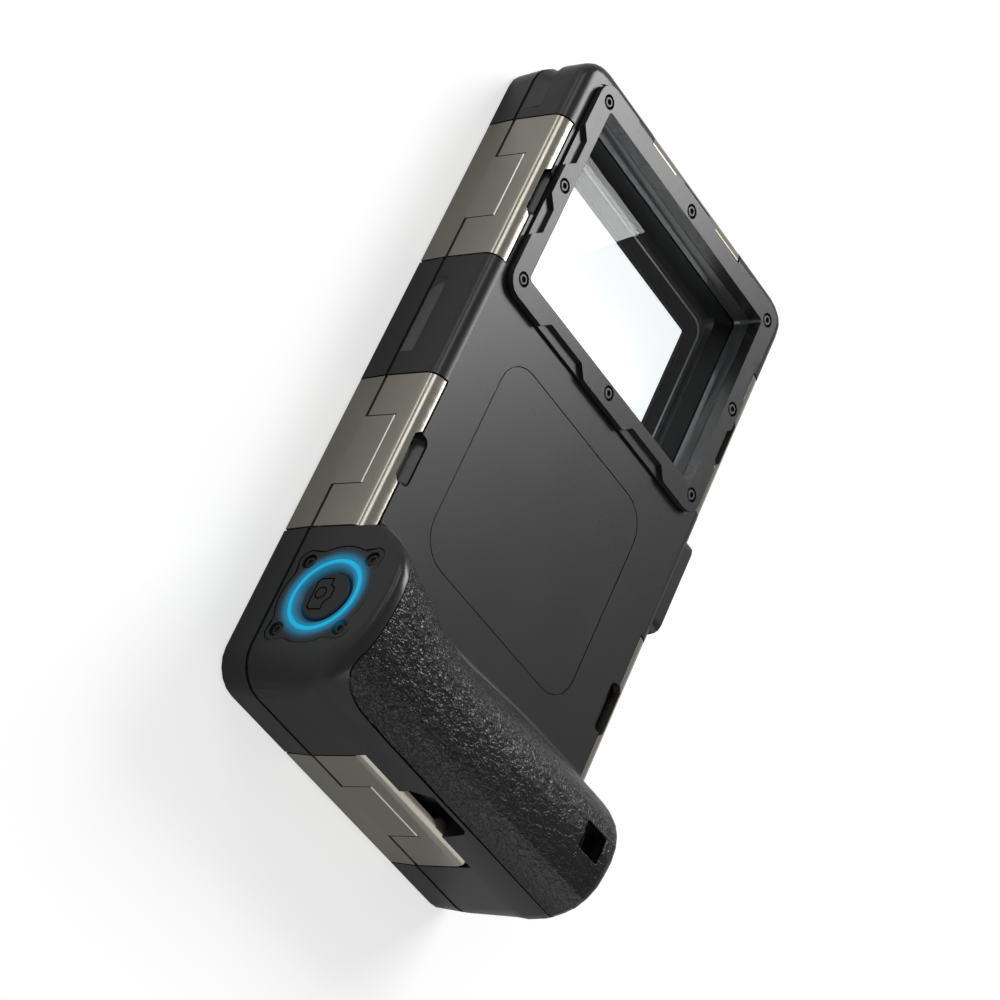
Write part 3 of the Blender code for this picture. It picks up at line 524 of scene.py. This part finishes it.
def paint_edge_highlight(piece):
    """Gives the narrow bevels round a pane a pale grey: a painted highlight for the bright line of
    light piped through its edge.
    """
    piece.data.materials.append(PANE_EDGE_HIGHLIGHT)
    piece.modifiers["edges"].material = len(piece.data.materials) - 1


# Boxes in the frame's coordinates, in mm, that take painted shade: round the shells' inside, and
# round the narrow step at the grip's foot, whose faces look towards +Y by more than FOOT_FACING
CAVITY_LOW = (-45.6, -92.3, 0.9)
CAVITY_HIGH = (41.6, 92.3, 24.4)
FOOT_LOW = (-54.0, -75.0, 25.9)
FOOT_HIGH = (50.0, -40.0, 29.5)
FOOT_FACING = 0.3
# Places of the two painted-shade finishes among a shell's materials, after its own at 0
INSIDE_SHADE_INDEX = 1
SEAM_SHADE_INDEX = 2


def within(spots, low, high):
    return all(a < value < b for spot in spots for a, value, b in zip(low, spot, high))


def paint_shade(piece):
    """The shell's hidden faces, and its narrow step at the grip's foot, are dull black: painted
    shade.
    """
    mesh = piece.data
    mesh.materials.append(INSIDE_SHADE)
    mesh.materials.append(SEAM_SHADE)
    for face in mesh.polygons:
        spots = [mesh.vertices[k].co / MM for k in face.vertices]
        if within(spots, CAVITY_LOW, CAVITY_HIGH):
            face.material_index = INSIDE_SHADE_INDEX
        elif face.normal.y > FOOT_FACING and within(spots, FOOT_LOW, FOOT_HIGH):
            face.material_index = SEAM_SHADE_INDEX


# How far the groove's cutter stands off the face, in mm, and the least share that keeps a mitre
# at a sharp corner from running away
CUTTER_STAND = 1.0
MITRE_LEAST = 0.4


def groove_mesh(loops, half, face_x, depth):
    """Closed loops of (y, z) millimetres as cutters: a band of 2 x half, depth into +X."""
    mesh = bpy.data.meshes.new("groove")
    bm = bmesh.new()
    for loop in loops:
        count = len(loop)
        rings = []
        for k in range(count):
            before, here, after = (Vector(loop[(k + d) % count]) for d in (-1, 0, 1))
            a = (here - before).normalized()
            b = (after - here).normalized()
            side = Vector((-(a.y + b.y), a.x + b.x)).normalized()
            side /= max(side.dot(Vector((-a.y, a.x))), MITRE_LEAST)
            ring = []
            out = -CUTTER_STAND
            for offset, x in ((half, out), (-half, out), (-half, depth), (half, depth)):
                at = here + side * offset
                ring.append(bm.verts.new(((face_x + x) * MM, at.x * MM, at.y * MM)))
            rings.append(ring)
        for k in range(count):
            now, then = rings[k], rings[(k + 1) % count]
            for j in range(4):
                bm.faces.new((now[j], now[(j + 1) % 4], then[(j + 1) % 4], then[j]))
    bmesh.ops.recalc_face_normals(bm, faces=bm.faces)
    bm.to_mesh(mesh)
    bm.free()
    return mesh


# Camera pictogram on the button, in mm: its body as (y, z) about the button's centre, its lens as
# (y, z, radius), half its line's width, and its depth
ICON_BODY = [
    (-3.9, 0.3), (-2.0, 0.3), (-0.6, 1.8), (2.0, 1.8), (3.1, 0.3), (4.9, 0.3),
    (4.9, -3.2), (4.1, -4.2), (-3.1, -4.2), (-3.9, -3.2),
]
ICON_LENS = (0.8, -1.85, 1.55)
ICON_LENS_STEPS = 28
ICON_LINE = 0.2
ICON_DEPTH = 0.25


def marked_button():
    """The shutter button with a generic camera outline cut into its face."""
    node = "shutter_button"
    piece = welded(node, BUTTON)
    cy, cz = RING_CENTRE[1] / MM, RING_CENTRE[2] / MM
    face_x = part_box(node)[0].x / MM
    body = [(cy + y, cz + z) for y, z in ICON_BODY]
    ly, lz, lr = ICON_LENS
    lens = []
    for k in range(ICON_LENS_STEPS):
        a = 2 * math.pi * k / ICON_LENS_STEPS
        lens.append((cy + ly + lr * math.cos(a), cz + lz + lr * math.sin(a)))
    grooves = groove_mesh([body, lens], ICON_LINE, face_x, ICON_DEPTH)
    cutter = bpy.data.objects.new("groove", grooves)
    cutter.data.materials.append(MARK)
    scene.collection.objects.link(cutter)
    carve = piece.modifiers.new("carve", "BOOLEAN")
    carve.object = cutter
    carve.operation = "DIFFERENCE"
    carve.solver = "EXACT"
    carve.material_mode = "TRANSFER"
    settle(piece)
    bpy.data.objects.remove(cutter, do_unlink=True)
    finish_edges(piece)
    take_place(piece, node)


def remeshed(node, look, voxel, soft=False):
    """A copy of a CAD node with even faces, voxel metres wide, its corners softened if asked."""
    piece = welded(node, look)
    remesh = piece.modifiers.new("even", "REMESH")
    remesh.mode = "VOXEL"
    remesh.voxel_size = voxel
    remesh.use_smooth_shade = True
    if soft:
        soften = piece.modifiers.new("soften", "SMOOTH")
        soften.factor = 0.6
        soften.iterations = 4
    settle(piece)
    if not piece.data.materials:
        piece.data.materials.append(look)
    return piece


def push_out(mesh, moves):
    """Moves each vertex along its normal by its own distance in metres."""
    normals = [vertex.normal.copy() for vertex in mesh.vertices]
    for vertex, normal, move in zip(mesh.vertices, normals, moves):
        vertex.co += normal * move


# The grip skin's mesh in metres: its voxel, and its wrinkles' cells near the button's end with
# what they lose towards the other end
SKIN_VOXEL = 0.0003
SKIN_CELL = 0.0023
SKIN_CELL_LOSS = 0.0008
# Its relief in mm: the wrinkles' depth near the button's end, what that loses towards the other
# end, and the swell's height with its noise scale
SKIN_DEPTH = 0.17
SKIN_DEPTH_LOSS = 0.1
SKIN_SWELL = 0.03
SWELL_SCALE = 260.0
# Seed of the offsets that noise_vector uses, which would otherwise come from the clock
SKIN_SEED = 1


def leather_skin():
    """The grip's skin as a fine mesh with wrinkles: coarse near the button's end, fine elsewhere."""
    node = "grip_skin"
    piece = remeshed(node, LEATHER, SKIN_VOXEL)
    low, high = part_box(node)
    start, full = LEATHER_RISE_Z
    noise.seed_set(SKIN_SEED)
    moves = []
    for vertex in piece.data.vertices:
        at = vertex.co
        along = (at.x - low.x) / (high.x - low.x)
        cell = SKIN_CELL - SKIN_CELL_LOSS * min(max(along * 1.6 - 0.2, 0.0), 1.0)
        warp = noise.noise_vector(at * BEND_SCALE) * 0.5
        near, far = noise.voronoi(at / cell + warp)[0][:2]
        ridge = min(max((far - near) * 1.8, 0.0), 1.0)
        swell = noise.noise(at * SWELL_SCALE)
        fade = min(max((at.z / MM - start) / (full - start), 0.0), 1.0)
        amount = (SKIN_DEPTH - SKIN_DEPTH_LOSS * along) * fade
        moves.append(((ridge - 1.0) * amount + swell * SKIN_SWELL) * MM)
    push_out(piece.data, moves)
    take_place(piece, node)


# The foam's voxel in metres, the mean dip of its skin in mm, and that dip's noise scale
FOAM_VOXEL = 0.0009
FOAM_DIP = 0.06
DIP_SCALE = 300.0


def foam_block(node):
    """A cushion of closed-cell foam: soft edges and an uneven skin."""
    piece = remeshed(node, FOAM, FOAM_VOXEL, soft=True)
    moves = [
        -(FOAM_DIP * MM * (1.0 + noise.noise(vertex.co * DIP_SCALE)))
        for vertex in piece.data.vertices
    ]
    push_out(piece.data, moves)
    take_place(piece, node)


# Bevels in mm
LATCH_EDGE = 0.25
SCREW_EDGE = 0.1
EDGES = {
    "camera_frame": 0.25,
    "camera_gasket": 0.12,
    "shutter_bezel": 0.12,
    "back_panel": 0.15,
    "camera_glass": 0.2,
    "front_window": 0.4,
}

for node_name in NODES:
    if node_name == "grip_skin":
        leather_skin()
    elif node_name == "shutter_button":
        marked_button()
    elif node_name.startswith("cushion"):
        foam_block(node_name)
    elif node_name == "shutter_bezel":
        dressed(node_name, EDGES[node_name], look=BEZEL)
    elif node_name.startswith(("lever", "claw_")) and "pin" not in node_name:
        dressed(node_name, LATCH_EDGE)
    elif node_name.startswith("bezel_screw"):
        dressed(node_name, SCREW_EDGE, look=DARK_SCREW)
    elif node_name.startswith("frame_screw"):
        dressed(node_name, SCREW_EDGE)
    elif node_name in ("rear_shell", "front_shell"):
        paint_shade(dressed(node_name))
    elif node_name == "front_window":
        paint_edge_highlight(dressed(node_name, EDGES[node_name]))
    elif node_name == "camera_gasket":
        dressed(node_name, EDGES[node_name], look=SEAL_GREY)
    elif node_name == "button_spring":
        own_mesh(dressed(node_name))
    else:
        dressed(node_name, EDGES.get(node_name, 0.0))


# Stage: a white floor under the case and plain soft light. Half the floor's width and the gap
# under the case are in metres. The next three are the floor's glow as the camera sees it,
# through glass and in reflections, and the last is the world's light on the case.
FLOOR_HALF = 6.0
FLOOR_GAP = 0.0002
FLOOR_SEEN = 0.62
FLOOR_THROUGH = 0.9
FLOOR_MIRRORED = 0.06
WORLD_LIGHT = 0.3


def area_light(name, azimuth, elevation, distance, size, radiance):
    """Softbox facing the case. Azimuth turns from +Y towards +X."""
    az, el = math.radians(azimuth), math.radians(elevation)
    toward = Vector((math.sin(az) * math.cos(el), math.cos(az) * math.cos(el), math.sin(el)))
    data = bpy.data.lights.new(name, "AREA")
    data.shape = "RECTANGLE"
    data.size, data.size_y = size
    data.energy = radiance * math.pi * size[0] * size[1]
    lamp = bpy.data.objects.new(name, data)
    lamp.location = toward * distance
    lamp.rotation_mode = "QUATERNION"
    lamp.rotation_quaternion = toward.to_track_quat("Z", "Y")
    scene.collection.objects.link(lamp)


def make_stage():
    n = Nodes("floor_look")
    ways = n.add("ShaderNodeLightPath")
    seen = n.math("MULTIPLY", ways.outputs["Is Camera Ray"], FLOOR_SEEN)
    through = n.math("MULTIPLY", ways.outputs["Is Transmission Ray"], FLOOR_THROUGH)
    mirrored = n.math("MULTIPLY", ways.outputs["Is Glossy Ray"], FLOOR_MIRRORED)
    n.set(
        Base_Color=(0.6, 0.6, 0.6, 1.0),
        Roughness=0.9,
        Specular_IOR_Level=0.0,
        Emission_Color=(1.0, 1.0, 1.0, 1.0),
        Emission_Strength=n.math("ADD", n.math("ADD", seen, through), mirrored),
    )
    mesh = bpy.data.meshes.new("floor")
    far = FLOOR_HALF
    corners = [(-far, -far, 0), (far, -far, 0), (far, far, 0), (-far, far, 0)]
    mesh.from_pydata(corners, [], [(0, 1, 2, 3)])
    mesh.materials.append(n.mat)
    floor = bpy.data.objects.new("floor", mesh)
    floor.location.z = CAD_BOX[0].z - FLOOR_GAP
    scene.collection.objects.link(floor)

    world = bpy.data.worlds.new("world")
    scene.world = world
    world.use_nodes = True
    tree = world.node_tree
    background = tree.nodes["Background"]
    background.inputs["Color"].default_value = (1.0, 1.0, 1.0, 1.0)
    ways = tree.nodes.new("ShaderNodeLightPath")
    strength = tree.nodes.new("ShaderNodeMapRange")
    strength.inputs["To Min"].default_value = WORLD_LIGHT
    strength.inputs["To Max"].default_value = 1.0
    tree.links.new(ways.outputs["Is Camera Ray"], strength.inputs["Value"])
    tree.links.new(strength.outputs["Result"], background.inputs["Strength"])

    area_light("softbox_back", 24.7, 41.0, 1.3, (0.63, 0.52), 8.7)
    area_light("strip_left", -62.0, 4.5, 1.25, (0.9, 0.14), 2.4)
    area_light("strip_round", -54.5, 29.0, 1.3, (0.6, 0.32), 2.4)
    area_light("strip_front", 140.0, 20.0, 1.3, (1.3, 0.7), 1.0)


make_stage()
